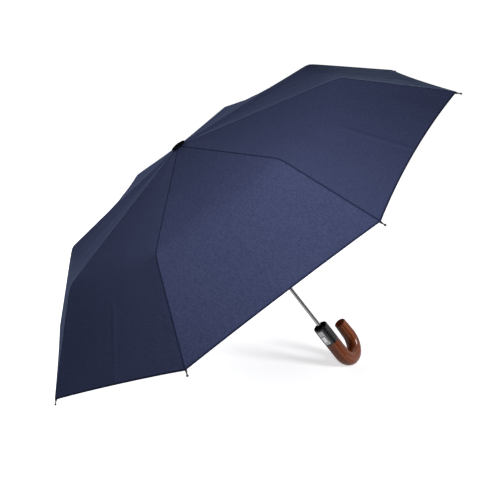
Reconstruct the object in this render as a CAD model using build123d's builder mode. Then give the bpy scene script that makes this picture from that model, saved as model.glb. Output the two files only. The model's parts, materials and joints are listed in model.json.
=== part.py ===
"""Automatic folding umbrella with a wooden crook handle.

The shaft stands along Z with the crown at the top, and the crook opens towards +X.
The origin is the middle of the straight wooden barrel, where the hand closes on it.
All sizes are in millimetres. The canopy is open and the shaft is drawn out.
"""

import os
from math import acos, atan2, ceil, cos, degrees, hypot, pi, radians, sin

from build123d import *

os.makedirs("parts", exist_ok=True)

# ---------------------------------------------------------------- driving sizes
# Handle
barrel_length = 36.0      # straight part of the wooden crook
barrel_radius = 15.6
crook_radius = 32.0       # centre line of the bend
crook_turn = 183.0        # bend's angle, so that the free arm leans in a little
arm_length = 33.0         # free arm of the crook
arm_end_radius = 12.9
arm_end_chamfer = 3.0
socket_radius = 9.0       # collar's spigot in the wood
socket_depth = 21.0
socket_floor = 1.0        # left free under the spigot

# Collar and push button, on the side away from the crook's opening
collar_length = 43.0
collar_radius = 15.6
collar_edge = 1.2
funnel_radius = 11.0      # recess in the collar's top, round the shaft
funnel_depth = 7.0
front_half_angle = 43.0   # smooth front of the collar, either side of the button
front_recess = 0.4
flute_radius = 0.55
flute_pitch_angle = 9.0
flute_margin = 3.0        # from a flute's end to the collar's end
bezel_width = 12.6
bezel_height = 35.0
bezel_depth = 2.6         # from the collar's surface to the bezel's back
bezel_proud = 0.3
button_width = 9.0
button_height = 15.0
button_rise = -3.0        # from the bezel's middle to the button's middle
button_depth = 7.4
button_proud = 1.2
button_edge = 0.8
button_travel = 2.0
chamber_wall = 1.4        # between the button's chamber and the shaft
spring_radius = 2.2
spring_wire = 0.35
spring_turns = 3
spring_steps = 12         # short straights in one turn
spring_seat = 3.4         # depth of the spring's pocket in the button's back

# Telescopic shaft: three tubes, the thinnest in the handle
tube_wall = 0.5
lower_tube_radius = 4.0
middle_tube_radius = 5.2
upper_tube_radius = 6.4
tube_neck = 3.0           # rolled-in end that guides the next tube
tube_travel = 122.0       # of each of the two slides
lower_reach = 119.0       # lower tube in sight above the collar
middle_reach = 126.0      # middle tube in sight
lower_overlap = 20.0      # lower tube inside the middle one
middle_overlap = 39.0     # middle tube inside the upper one
bush_head = 7.0
bush_shank = 11.0

# Canopy
rib_count = 8
rib_phase = 11.0          # first rib's turn from the crook's plane
canopy_height = 475.0     # collar's top to the fabric's apex
canopy_radius = 485.0     # shaft to a corner of the fabric
canopy_depth = 188.7      # apex to the corners
bend_radius = 329.3       # shaft to the joint under the fabric's shoulder
bend_depth = 55.1
fabric_drop = 0.45        # fabric's thickness, measured along Z
hem_sag = 9.0             # hollow of each panel's hem
eye_radius = 4.0          # hole at the apex

# Crown, cap and runner
cap_radius = 14.5
cap_thickness = 3.2
cap_rim = 1.6
cap_slope = 6.0           # run of the sloping edge of the cap's top
crown_radius = 14.0
crown_above = 6.5         # crown's top above the rib pivots
crown_below = 4.0
crown_pivot_drop = 11.0   # apex to the rib pivots
crown_pivot_radius = 12.5
crown_slot_clear = 1.2    # behind a rib's eye in its slot
ring_wire = 0.6           # radius of the wire ring that holds the ribs
ring_sides = 16
slot_gap = 0.3            # each side of a link in its slot
slot_roof = 3.0
runner_radius = 14.0
runner_half_height = 3.5
runner_sleeve = 30.0
sleeve_wall = 1.35

# Ribs: folded steel channels and round outer rods
rib_half_width = 1.6
rib_top = 0.4             # channel's top, below the line through its pivots
rib_bottom = 4.2
rib_wall = 0.5
eye_outer = 2.2           # rounded end round each rivet
rivet_radius = 0.8
rivet_proud = 0.3         # beyond the stretcher's cheeks
small_sides = 6           # sides of the small rounds that every rib repeats
tongue_half_width = 0.9
fork_gap = 10.5           # clear length of a forked end
plug_length = 4.0         # solid stretch where a tongue is folded in
tongue_reach = 10.0
tongue_overlap = 1.0      # of a link's flat end with its channel
rib_clear = 2.0           # fabric to the pivots' line at the shoulder
under_pivot = 4.6         # outer rib's pivot, below that line
knee_setback = 3.0        # from a channel's end to its rivet, at the knee
elbow_setback = 5.0
stretcher_seat = 85.0     # along the top rib, to the stretcher's rivet
stretcher_drop = 2.4      # that rivet, below the line through the pivots
stretcher_length = 100.0
stretcher_low = 1.8       # channel's open edge from its centre line
stretcher_back = 2.7      # channel's back from its centre line
rod_radius = 1.2
rod_rise = 1.3            # rod above the line from its pivot
rod_clear = 2.6           # rod's centre under the fabric's corner
tip_radius = 1.9
tip_grip = 7.0            # length of rod inside the tip
tip_reach = 10.0          # beyond the fabric's corner
tip_edge = 0.5
tip_taper = 4.0           # from the rod's end to the tip's slender part
tip_ball = 1.8

# Clearances
slide_fit = 0.05          # a tube or rivet in its hole, on the radius
ring_fit = 0.15           # a rib's eye on the curved ring wire
link_gap = 0.2            # between the cheeks of two links
seat_fit = 0.1            # fixed pieces that drop into one another
past = 2.0                # how far a cut runs past the surface it opens

# ------------------------------------------------------------ places that follow
rib_pitch = 360 / rib_count
wood_top = barrel_length / 2
collar_top = wood_top + collar_length
apex = collar_top + canopy_height
bend_z = apex - bend_depth
corner_z = apex - canopy_depth
pivot_z = apex - crown_pivot_drop
crown_top = pivot_z + crown_above
spigot_bottom = wood_top - socket_depth + socket_floor
middle_bottom = collar_top + lower_reach
upper_bottom = middle_bottom + middle_reach
lower_top = middle_bottom + lower_overlap
middle_top = upper_bottom + middle_overlap

# The pivots' line of the two inner links, and its slope below the horizontal
line_run = bend_radius - crown_pivot_radius
line_fall = pivot_z - (bend_z - rib_clear)
inner_slope = atan2(line_fall, line_run)
link_length = hypot(line_run, line_fall) / 2


def on_link(origin, slope, along, up):
    """Point at (along, up) from a link's origin; slope is its fall below the horizontal."""
    return (
        origin[0] + along * cos(slope) + up * sin(slope),
        origin[1] - along * sin(slope) + up * cos(slope),
    )


def side_plane(origin, slope):
    """Upright plane through a link: local x runs along it and local y points to the fabric."""
    return Plane(
        origin=(origin[0], 0, origin[1]),
        x_dir=(cos(slope), 0, -sin(slope)),
        z_dir=(0, -1, 0),
    )


crown_pivot = (crown_pivot_radius, pivot_z)
knee = on_link(crown_pivot, inner_slope, link_length, 0)
elbow = on_link(knee, inner_slope, link_length, -under_pivot)
stretcher_pivot = on_link(crown_pivot, inner_slope, stretcher_seat, -stretcher_drop)

# The runner's pivots stay below the stretchers when the frame is shut
runner_pivot_radius = crown_pivot_radius - stretcher_drop
stretcher_run = stretcher_pivot[0] - runner_pivot_radius
stretcher_slope = acos(stretcher_run / stretcher_length)
runner_pivot_z = stretcher_pivot[1] - stretcher_length * sin(stretcher_slope)

# The outer rod runs from the elbow to just under the fabric's corner
skirt_slope = atan2(canopy_depth - bend_depth, canopy_radius - bend_radius)
rod_target = on_link((canopy_radius, corner_z), skirt_slope, 0, -rod_clear - rod_rise)
outer_slope = atan2(elbow[1] - rod_target[1], rod_target[0] - elbow[0])
rod_length = hypot(rod_target[0] - elbow[0], elbow[1] - rod_target[1])


# Stretcher's channel, which straddles the top rib
cheek_inside = rib_half_width + link_gap
cheek_outside = cheek_inside + rib_wall
channel_end = stretcher_length - tongue_reach + tongue_overlap


def bar(radius):
    """Section of a small round bar or knob, drawn in the sketch that calls it."""
    RegularPolygon(radius, small_sides)


def eye(radius):
    """Small round hole for such a bar, cut in the sketch that calls it."""
    RegularPolygon(radius, small_sides, major_radius=False, mode=Mode.SUBTRACT)


def save(part, name):
    """Label one finished piece and write it as its own STEP file."""
    part.label = name
    export_step(part, f"parts/{name}.step")


def save_round(part, name):
    """Write one copy of a rib piece for each rib, turned about the shaft."""
    for number in range(rib_count):
        turned = part.rotate(Axis.Z, rib_phase + number * rib_pitch)
        save(turned, f"{name}_{number + 1}")


# ---------------------------------------------------------------- crook handle
crook_start = -barrel_length / 2
crook_axis = Axis((crook_radius, 0, crook_start), (0, -1, 0))
arm_lean = radians(crook_turn - 180)
arm_plane = Plane(
    origin=(
        crook_radius + crook_radius * cos(arm_lean),
        0,
        crook_start + crook_radius * sin(arm_lean),
    ),
    x_dir=(cos(arm_lean), 0, sin(arm_lean)),
    z_dir=(0, -1, 0),
)

with BuildPart() as crook_handle:
    with BuildSketch(Plane.XY.offset(crook_start)):
        Circle(barrel_radius)
    extrude(amount=barrel_length)
    with BuildSketch(Plane.XY.offset(crook_start)):
        Circle(barrel_radius)
    revolve(axis=crook_axis, revolution_arc=crook_turn)
    # Free arm, which slims towards its end
    with BuildSketch(arm_plane) as arm_profile:
        with BuildLine():
            Polyline(
                (0, 0),
                (barrel_radius, 0),
                (arm_end_radius, arm_length),
                (0, arm_length),
                close=True,
            )
        make_face()
        end_corner = arm_profile.vertices().sort_by(Axis.X)[-2]
        chamfer(end_corner, arm_end_chamfer)
    revolve(axis=Axis(arm_plane.origin, arm_plane.y_dir))
    with Locations((0, 0, wood_top)):
        Hole(socket_radius + slide_fit, socket_depth)
save(crook_handle.part, "crook_handle")

# ---------------------------------------------------------------------- collar
bezel_z = wood_top + collar_length / 2
button_z = bezel_z + button_rise
bezel_back = collar_radius - bezel_depth
button_face = collar_radius + button_proud
button_back = button_face - button_depth
spring_floor = lower_tube_radius + chamber_wall
flute_count = ceil((360 - 2 * front_half_angle) / flute_pitch_angle) - 1

with BuildPart() as collar:
    with BuildSketch(Plane.XY.offset(wood_top)):
        Circle(collar_radius)
    extrude(amount=collar_length)
    rim = collar.faces().sort_by(Axis.Z)[-1].edges()
    chamfer(rim, collar_edge)
    # Smooth front, set back a little from the fluted grip
    with BuildSketch(Plane.XY.offset(wood_top + flute_margin)):
        Circle(collar_radius + past)
        Circle(collar_radius - front_recess, mode=Mode.SUBTRACT)
        with BuildLine():
            front_reach = 2 * collar_radius
            corner = front_reach * sin(radians(front_half_angle))
            back = -front_reach * cos(radians(front_half_angle))
            Polyline((0, 0), (back, corner), (back, -corner), close=True)
        make_face(mode=Mode.INTERSECT)
    extrude(amount=collar_length - 2 * flute_margin, mode=Mode.SUBTRACT)
    # Vertical flutes round the grip
    with BuildSketch(Plane.XY.offset(wood_top + flute_margin)):
        with PolarLocations(
            collar_radius,
            flute_count,
            start_angle=-(flute_count - 1) / 2 * flute_pitch_angle,
            angular_range=flute_count * flute_pitch_angle,
        ):
            RegularPolygon(flute_radius, 4)
    extrude(amount=collar_length - 2 * flute_margin, mode=Mode.SUBTRACT)
    # Spigot into the wood, recess round the shaft, and the shaft's bore
    with BuildSketch(Plane.XY.offset(spigot_bottom)):
        Circle(socket_radius)
    extrude(amount=wood_top - spigot_bottom)
    with Locations((0, 0, collar_top)):
        CounterBoreHole(lower_tube_radius + slide_fit, funnel_radius, funnel_depth)
    # Seat of the bezel, and the button's chamber behind it
    with BuildSketch(Plane.YZ.offset(-bezel_back)):
        with Locations((0, bezel_z)):
            Rectangle(bezel_width + 2 * seat_fit, bezel_height + 2 * seat_fit)
    extrude(amount=-bezel_depth - past, mode=Mode.SUBTRACT)
    with BuildSketch(Plane.YZ.offset(-spring_floor)):
        with Locations((0, button_z)):
            Rectangle(button_width + 2 * link_gap, button_height + 2 * link_gap)
    extrude(amount=spring_floor - collar_radius - past, mode=Mode.SUBTRACT)
save(collar.part, "collar")

with BuildPart() as button_bezel:
    with BuildSketch(Plane.XY.offset(bezel_z - bezel_height / 2)):
        Circle(collar_radius + bezel_proud)
        with Locations((-bezel_back, 0)):
            Rectangle(
                2 * bezel_depth,
                bezel_width,
                align=(Align.MAX, Align.CENTER),
                mode=Mode.INTERSECT,
            )
    extrude(amount=bezel_height)
    outer_edges = button_bezel.faces().sort_by(Axis.X)[0].edges()
    chamfer(outer_edges, bezel_proud)
    with BuildSketch(Plane.YZ.offset(-bezel_back + 1)):
        with Locations((0, button_z)):
            Rectangle(button_width + 2 * seat_fit, button_height + 2 * seat_fit)
    extrude(amount=-bezel_depth - past, mode=Mode.SUBTRACT)
save(button_bezel.part, "button_bezel")

with BuildPart() as push_button:
    with BuildSketch(Plane.XY.offset(button_z - button_height / 2)):
        Circle(button_face)
        with Locations((-button_back, 0)):
            Rectangle(
                2 * button_depth,
                button_width,
                align=(Align.MAX, Align.CENTER),
                mode=Mode.INTERSECT,
            )
    extrude(amount=button_height)
    chamfer(push_button.faces().sort_by(Axis.X)[0].edges(), button_edge)
    with BuildSketch(Plane.YZ.offset(-button_back)):
        with Locations((0, button_z)):
            Circle(spring_radius + spring_wire + link_gap)
    extrude(amount=-spring_seat, mode=Mode.SUBTRACT)
save(push_button.part, "push_button")

spring_length = button_back + spring_seat - spring_floor - 2 * spring_wire - seat_fit
with BuildPart() as button_spring:
    with BuildLine(Plane.YZ.offset(-spring_floor - spring_wire)) as spring_path:
        Polyline(
            [
                (
                    spring_radius * cos(2 * pi * step / spring_steps),
                    button_z + spring_radius * sin(2 * pi * step / spring_steps),
                    -spring_length * step / (spring_turns * spring_steps),
                )
                for step in range(spring_turns * spring_steps + 1)
            ]
        )
    with BuildSketch(spring_path.wire() ^ 0):
        RegularPolygon(spring_wire, 4)
    sweep(path=spring_path.wire(), transition=Transition.RIGHT)
save(button_spring.part, "button_spring")


# ---------------------------------------------------------------- shaft's tubes
def tube(bottom, top, radius, neck_radius):
    """Tube with a rolled-in neck at its lower end, which guides the next tube."""
    bore = radius - tube_wall
    with BuildPart() as piece:
        with BuildSketch(Plane.XZ):
            with BuildLine():
                Polyline(
                    (neck_radius, bottom),
                    (radius, bottom),
                    (radius, top),
                    (bore, top),
                    (bore, bottom + tube_neck),
                    (neck_radius, bottom + tube_neck),
                    close=True,
                )
            make_face()
        revolve(axis=Axis.Z)
    return piece.part


def bush(top, tube_radius, bore):
    """Nylon guide on a tube's upper end, running in the next tube's bore."""
    with BuildPart() as piece:
        with BuildSketch(Plane.XY.offset(top)):
            Circle(bore - slide_fit)
        extrude(amount=bush_head)
        with BuildSketch(Plane.XY.offset(top - bush_shank)):
            Circle(tube_radius - tube_wall - slide_fit)
        extrude(amount=bush_shank)
    return piece.part


save(
    tube(spigot_bottom, lower_top, lower_tube_radius, lower_tube_radius - 2 * tube_wall),
    "lower_tube",
)
save(
    bush(lower_top, lower_tube_radius, middle_tube_radius - tube_wall),
    "lower_tube_bush",
)
save(
    tube(middle_bottom, middle_top, middle_tube_radius, lower_tube_radius + slide_fit),
    "middle_tube",
)
save(
    bush(middle_top, middle_tube_radius, upper_tube_radius - tube_wall),
    "middle_tube_bush",
)
save(
    tube(upper_bottom, crown_top, upper_tube_radius, middle_tube_radius + slide_fit),
    "upper_tube",
)

# ------------------------------------------------------- crown, its wire and cap
ring_turn = rib_phase - 180 / ring_sides
crown_slot_foot = crown_pivot_radius - eye_outer - crown_slot_clear
with BuildPart() as crown:
    with BuildSketch(Plane.XY.offset(pivot_z - crown_below)):
        Circle(crown_radius)
        Circle(upper_tube_radius + slide_fit, mode=Mode.SUBTRACT)
    extrude(amount=crown_below + crown_above)
    with PolarLocations(0, rib_count, start_angle=rib_phase):
        with Locations((crown_slot_foot, 0, pivot_z + slot_roof)):
            Box(
                crown_radius,
                2 * (tongue_half_width + slot_gap),
                slot_roof + crown_below + past,
                align=(Align.MIN, Align.CENTER, Align.MAX),
                mode=Mode.SUBTRACT,
            )
    with BuildSketch(Plane.XY.offset(pivot_z - ring_wire - slide_fit)):
        Circle(crown_radius + past)
        RegularPolygon(
            crown_pivot_radius - ring_wire - slide_fit,
            ring_sides,
            major_radius=False,
            rotation=ring_turn,
            mode=Mode.SUBTRACT,
        )
    extrude(amount=2 * (ring_wire + slide_fit), mode=Mode.SUBTRACT)
save(crown.part, "crown")

# The wire runs straight across every slot, so that each rib turns on a straight pin
with BuildPart() as crown_ring:
    for inset, how in ((-ring_wire, Mode.ADD), (ring_wire, Mode.SUBTRACT)):
        with BuildSketch(Plane.XY.offset(pivot_z - ring_wire * cos(pi / 8))):
            RegularPolygon(
                crown_pivot_radius - inset * cos(pi / 8),
                ring_sides,
                major_radius=False,
                rotation=ring_turn,
            )
        extrude(amount=2 * ring_wire * cos(pi / 8), mode=how)
    sharp = crown_ring.edges().filter_by(Axis.Z, reverse=True)
    chamfer(sharp, ring_wire * (cos(pi / 8) - sin(pi / 8)))
save(crown_ring.part, "crown_ring_wire")

cap_stem = (upper_tube_radius - tube_wall) / 2
cap_bottom = apex + seat_fit
with BuildPart() as crown_cap:
    with BuildSketch(Plane.XY.offset(cap_bottom)):
        Circle(cap_radius)
    extrude(amount=cap_thickness)
    rim = crown_cap.faces().sort_by(Axis.Z)[-1].edges()
    chamfer(rim, length=cap_thickness - cap_rim, length2=cap_slope)
    with BuildSketch(Plane.XY.offset(crown_top - bush_shank)):
        Circle(cap_stem)
    extrude(amount=cap_bottom - crown_top + bush_shank)
save(crown_cap.part, "crown_cap")

# ---------------------------------------------------------------------- runner
sleeve_radius = upper_tube_radius + slide_fit + sleeve_wall
with BuildPart() as runner:
    with BuildSketch(Plane.XY.offset(runner_pivot_z - runner_half_height)):
        Circle(runner_radius)
    extrude(amount=2 * runner_half_height)
    with BuildSketch(Plane.XY.offset(runner_pivot_z - runner_sleeve)):
        Circle(sleeve_radius)
    extrude(amount=runner_sleeve)
    # Slots for the stretchers' ends, open above, below and outwards
    with PolarLocations(0, rib_count, start_angle=rib_phase):
        with Locations((sleeve_radius + slot_gap / 3, 0, runner_pivot_z)):
            Box(
                runner_radius,
                2 * (cheek_outside + slot_gap),
                3 * runner_half_height,
                align=(Align.MIN, Align.CENTER, Align.CENTER),
                mode=Mode.SUBTRACT,
            )
    with Locations((0, 0, runner_pivot_z + runner_half_height)):
        Hole(upper_tube_radius + slide_fit)
save(runner.part, "runner")

# ------------------------------------------------------------------ inner links
rib_middle = (rib_top + rib_bottom) / 2
rib_end_radius = (rib_bottom - rib_top) / 2


def lever(near, near_radius, far, far_half):
    """Side view of a lever, drawn in the sketch that calls it: round at its near end."""
    with Locations(near):
        bar(near_radius)
    with Locations(far):
        Rectangle(2 * far_half, 2 * far_half)
    make_hull()


def channel(plane, start, end, fork):
    """Folded channel, open below, with a forked end whose cheeks carry the rivet at fork."""
    with BuildPart() as piece:
        with BuildSketch(plane):
            with Locations((start, -rib_middle)):
                Rectangle(
                    end - start,
                    2 * rib_end_radius,
                    align=(Align.MIN, Align.CENTER),
                )
        extrude(amount=rib_half_width, both=True)
        with BuildSketch(plane):
            lever(
                fork,
                eye_outer,
                (fork[0] - tongue_reach, -rib_middle),
                rib_end_radius,
            )
        extrude(amount=rib_half_width, both=True)
        inner_half = rib_half_width - rib_wall
        with BuildSketch(plane):
            with Locations((start + plug_length, -rib_top - rib_wall)):
                Rectangle(
                    end,
                    2 * rib_bottom,
                    align=(Align.MIN, Align.MAX),
                )
            with Locations((fork[0] - fork_gap, 0)):
                Rectangle(
                    2 * fork_gap,
                    6 * rib_bottom,
                    align=(Align.MIN, Align.CENTER),
                )
        extrude(amount=inner_half, both=True, mode=Mode.SUBTRACT)
        with BuildSketch(plane):
            with Locations(fork):
                bar(rivet_radius)
        extrude(amount=rib_half_width, both=True)
    return piece.part


def tongue(plane, hole_radius):
    """Flat eyed end of a link, which turns on a rivet or wire at the plane's origin."""
    with BuildPart() as piece:
        with BuildSketch(plane):
            lever(
                (0, 0),
                eye_outer,
                (tongue_reach, -rib_middle),
                rib_end_radius - slide_fit,
            )
            eye(hole_radius)
        extrude(amount=tongue_half_width, both=True)
    return piece.part


channel_start = tongue_reach - tongue_overlap
top_plane = side_plane(crown_pivot, inner_slope)
with BuildPart() as top_rib:
    add(
        channel(
            top_plane,
            channel_start,
            link_length - knee_setback,
            (link_length, 0),
        )
    )
    add(tongue(top_plane, ring_wire + ring_fit))
    # Rivet that carries the stretcher
    with BuildSketch(top_plane):
        with Locations((stretcher_seat, -stretcher_drop)):
            bar(rivet_radius)
    extrude(amount=cheek_outside + rivet_proud, both=True)
save_round(top_rib.part, "top_rib")

middle_plane = side_plane(knee, inner_slope)
with BuildPart() as middle_rib:
    add(
        channel(
            middle_plane,
            channel_start,
            link_length - elbow_setback,
            (link_length, -under_pivot),
        )
    )
    add(tongue(middle_plane, rivet_radius + slide_fit))
save_round(middle_rib.part, "middle_rib")

# ------------------------------------------------------------------- stretcher
stretcher_plane = Plane(
    origin=(stretcher_pivot[0], 0, stretcher_pivot[1]),
    x_dir=(-cos(stretcher_slope), 0, -sin(stretcher_slope)),
    z_dir=(0, 1, 0),
)
with BuildPart() as stretcher:
    with BuildSketch(stretcher_plane):
        lever((0, 0), stretcher_low, (tongue_reach, 0), stretcher_low)
        with Locations((tongue_reach, -stretcher_low)):
            Rectangle(
                channel_end - tongue_reach,
                stretcher_back + stretcher_low,
                align=(Align.MIN, Align.MIN),
            )
        eye(rivet_radius + slide_fit)
    extrude(amount=cheek_outside, both=True)
    with BuildSketch(stretcher_plane):
        with Locations((-2 * stretcher_low, stretcher_back - rib_wall)):
            Rectangle(
                channel_end - plug_length + 2 * stretcher_low,
                3 * stretcher_back,
                align=(Align.MIN, Align.MAX),
            )
    extrude(amount=cheek_inside, both=True, mode=Mode.SUBTRACT)
    with BuildSketch(stretcher_plane):
        lever(
            (stretcher_length, 0),
            stretcher_low,
            (stretcher_length - tongue_reach, 0),
            stretcher_low - slide_fit,
        )
        with Locations((stretcher_length, 0)):
            eye(rivet_radius)
    extrude(amount=cheek_outside, both=True)
save_round(stretcher.part, "stretcher")

# --------------------------------------------------------- outer rib and its tip
outer_plane = side_plane(elbow, outer_slope)
rod_start = tongue_reach - tongue_overlap
rod_foot = on_link(elbow, outer_slope, 0, rod_rise)
rod_plane = Plane(
    origin=(rod_foot[0], 0, rod_foot[1]),
    x_dir=(0, 1, 0),
    z_dir=(cos(outer_slope), 0, -sin(outer_slope)),
)
tip_start = rod_length - tip_grip
tip_end = rod_length + tip_reach
with BuildPart() as outer_rib:
    with BuildSketch(outer_plane):
        lever((0, 0), eye_outer, (tongue_reach, rod_rise), rod_radius / 2)
        eye(rivet_radius + slide_fit)
    extrude(amount=tongue_half_width, both=True)
    # Round rod, and the tip moulded on its end
    for along, radius in (
        (rod_start, rod_radius),
        (tip_start, rod_radius),
        (tip_start + tip_edge, tip_radius),
        (rod_length, tip_radius),
        (rod_length + tip_taper, rod_radius),
        (tip_end - 2 * tip_ball, rod_radius),
        (tip_end - tip_ball, tip_ball),
        (tip_end, rod_radius / 2),
    ):
        with BuildSketch(rod_plane.offset(along)):
            bar(radius)
    loft(ruled=True)
save_round(outer_rib.part, "outer_rib")

# ---------------------------------------------------------------------- canopy
half_panel = radians(rib_pitch / 2)
hem_half = canopy_radius * sin(half_panel)
hem_radius = (hem_half**2 + hem_sag**2) / (2 * hem_sag)


def panel_plane(inner_radius, inner_z, outer_radius, outer_z):
    """Plane of a flat plate between two ribs: local x runs outwards along its middle."""
    run = (outer_radius - inner_radius) * cos(half_panel)
    return Plane(
        origin=(0, 0, outer_z - (outer_z - inner_z) / run * outer_radius * cos(half_panel)),
        x_dir=(run, 0, outer_z - inner_z),
        z_dir=(inner_z - outer_z, 0, run),
    )


skirt_plane = panel_plane(bend_radius, bend_z, canopy_radius, corner_z)
panel_plates = [
    (panel_plane(0, apex, bend_radius, bend_z), eye_radius, bend_radius),
    (skirt_plane, bend_radius, canopy_radius),
]
hem_far = canopy_radius * cos(half_panel) / skirt_plane.x_dir.X
with BuildPart() as canopy_panel:
    for plate_plane, inner_radius, outer_radius in panel_plates:
        near = inner_radius * cos(half_panel) / plate_plane.x_dir.X
        far = outer_radius * cos(half_panel) / plate_plane.x_dir.X
        with BuildSketch(plate_plane):
            with BuildLine():
                Polyline(
                    (near, -inner_radius * sin(half_panel)),
                    (far, -outer_radius * sin(half_panel)),
                    (far, outer_radius * sin(half_panel)),
                    (near, inner_radius * sin(half_panel)),
                    close=True,
                )
            make_face()
        extrude(amount=fabric_drop, dir=(0, 0, -1))
    # Hollow of the hem
    with BuildSketch(skirt_plane.offset(hem_sag)):
        with Locations((hem_far + hem_radius - hem_sag, 0)):
            Circle(hem_radius)
    extrude(amount=-2 * hem_sag, mode=Mode.SUBTRACT)
for number in range(rib_count):
    turned = canopy_panel.part.rotate(
        Axis.Z, rib_phase + (number + 0.5) * rib_pitch
    )
    save(turned, f"canopy_panel_{number + 1}")
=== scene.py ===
# %% [markdown]
# # A folding umbrella
#
# The umbrella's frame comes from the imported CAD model: tubes, runner, crown and eight ribs of
# four links each. This lesson gives it cloth, varnished wood, chrome and moulded plastic. It
# keeps every hinge where the frame has it, so that the same scene also looks right when the
# umbrella is shut.

# %% Load the frame
import json
import math

import bmesh
import bpy
import numpy as np
from mathutils import Matrix, Vector

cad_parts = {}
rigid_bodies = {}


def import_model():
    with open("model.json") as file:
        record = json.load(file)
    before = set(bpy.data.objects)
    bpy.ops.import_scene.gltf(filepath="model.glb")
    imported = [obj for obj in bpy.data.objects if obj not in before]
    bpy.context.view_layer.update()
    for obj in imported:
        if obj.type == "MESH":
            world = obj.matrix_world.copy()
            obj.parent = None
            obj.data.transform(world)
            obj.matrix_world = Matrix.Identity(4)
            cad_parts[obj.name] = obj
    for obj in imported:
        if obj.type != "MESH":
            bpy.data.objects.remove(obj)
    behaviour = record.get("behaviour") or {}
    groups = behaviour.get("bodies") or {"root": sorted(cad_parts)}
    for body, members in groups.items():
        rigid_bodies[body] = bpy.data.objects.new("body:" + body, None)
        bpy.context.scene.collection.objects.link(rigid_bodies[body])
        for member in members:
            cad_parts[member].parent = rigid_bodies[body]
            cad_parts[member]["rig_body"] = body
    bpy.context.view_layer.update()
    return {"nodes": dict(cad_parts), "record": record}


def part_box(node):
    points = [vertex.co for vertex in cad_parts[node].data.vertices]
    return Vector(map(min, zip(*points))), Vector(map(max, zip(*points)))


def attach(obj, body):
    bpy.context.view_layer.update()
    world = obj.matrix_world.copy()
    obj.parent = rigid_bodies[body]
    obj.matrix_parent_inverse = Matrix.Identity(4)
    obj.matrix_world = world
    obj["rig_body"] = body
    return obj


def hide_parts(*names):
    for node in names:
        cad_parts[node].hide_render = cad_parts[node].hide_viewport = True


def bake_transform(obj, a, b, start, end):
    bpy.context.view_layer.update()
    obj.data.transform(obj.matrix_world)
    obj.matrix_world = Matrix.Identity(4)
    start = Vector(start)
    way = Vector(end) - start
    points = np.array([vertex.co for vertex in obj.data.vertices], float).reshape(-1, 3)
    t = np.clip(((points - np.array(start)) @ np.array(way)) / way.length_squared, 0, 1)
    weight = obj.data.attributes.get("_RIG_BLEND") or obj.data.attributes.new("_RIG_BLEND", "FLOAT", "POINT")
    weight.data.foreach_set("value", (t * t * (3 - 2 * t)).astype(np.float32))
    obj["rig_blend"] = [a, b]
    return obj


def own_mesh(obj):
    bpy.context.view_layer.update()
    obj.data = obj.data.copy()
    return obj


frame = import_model()
record = frame["record"]

# %% [markdown]
# ## Where the joints are
#
# Cloth and rivets hang on the frame's hinges. They could be measured on the meshes, but the
# record holds each hinge's place exactly. The first rib gives the distances that all eight
# share.

# %% Joints and main distances
joints = {joint["name"]: joint for joint in record["behaviour"]["joints"]}
RIBS = 8
PITCH = 2 * math.pi / RIBS
HALF = PITCH / 2
PHASE = math.atan2(joints["canopy_fold"]["pos_m"][1], joints["canopy_fold"]["pos_m"][0])


def hinge(name):
    """Distance from the shaft and height of one of the first rib's hinges."""
    x, y, z = joints[name]["pos_m"]
    return math.hypot(x, y), z


stretcher_hinge = hinge("stretcher_fold_1")
knee = hinge("middle_rib_fold_1")
elbow = hinge("outer_rib_fold_1")
panel_low, panel_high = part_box("canopy_panel_1")
crook_low, crook_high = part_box("crook_handle")
print("knee", knee, "elbow", elbow, "rib turn", math.degrees(PHASE))

# %% [markdown]
# ## Arithmetic that writes nodes
#
# Shaders and Geometry Nodes share their Math nodes. The class below wraps one socket, so that
# `1 - mask` or `2 * width` adds the node that works it out. The tree wrapper adds any other
# node from its type, its settings and what goes into its sockets.


# %% Sockets that can be added and multiplied
class Value:
    """One output of a node. Operators on it add Math nodes to its tree."""

    def __init__(self, tree, socket):
        self.tree = tree
        self.socket = socket

    def math(self, operation, *others, clamp=False):
        """Put this value through one Math node."""
        settings = {"operation": operation, "use_clamp": clamp}
        inputs = dict(enumerate((self, *others)))
        return self.tree.add("ShaderNodeMath", settings, inputs)

    def __add__(self, other):
        return self.math("ADD", other)

    def __radd__(self, other):
        return self.math("ADD", other)

    def __sub__(self, other):
        return self.math("SUBTRACT", other)

    def __rsub__(self, other):
        return (self * -1) + other

    def __mul__(self, other):
        return self.math("MULTIPLY", other)

    def __rmul__(self, other):
        return self.math("MULTIPLY", other)

    def __truediv__(self, other):
        return self.math("DIVIDE", other)

    def __rtruediv__(self, other):
        return self.math("POWER", -1) * other

    def __pow__(self, other):
        return self.math("POWER", other)

    def __abs__(self):
        return self.math("ABSOLUTE")


class Tree:
    """A node tree that is built by calls."""

    def __init__(self, nodes):
        self.nodes = nodes

    def add(self, kind, settings=None, inputs=None, output=0):
        """Add one node: first its settings, then its sockets. Returns one of its outputs."""
        node = self.nodes.nodes.new(kind)
        for name, value in (settings or {}).items():
            if name == "stops":
                set_stops(node.color_ramp, value)
            else:
                setattr(node, name, value)
        for name, value in (inputs or {}).items():
            socket = node.inputs[name]
            if isinstance(value, Value):
                self.nodes.links.new(value.socket, socket)
            else:
                socket.default_value = value
        return Value(self, node.outputs[output])


def set_stops(ramp, stops):
    """Give a colour ramp its stops: pairs of a place and a colour."""
    while len(ramp.elements) < len(stops):
        ramp.elements.new(1.0)
    for element, (place, colour) in zip(ramp.elements, stops):
        element.position = place
        element.color = (*colour, 1)


# %% [markdown]
# ## Colours
#
# A shader wants linear colour, while a colour chart gives display values. Numbers that were
# already linear would need no help, but they are hard to picture, so one line turns the second
# kind into the first. The helpers after it make a material, feed its sockets, and add the
# nodes that most finishes share: a blend, a noise, a stretch, a relief and a soft step.


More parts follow.
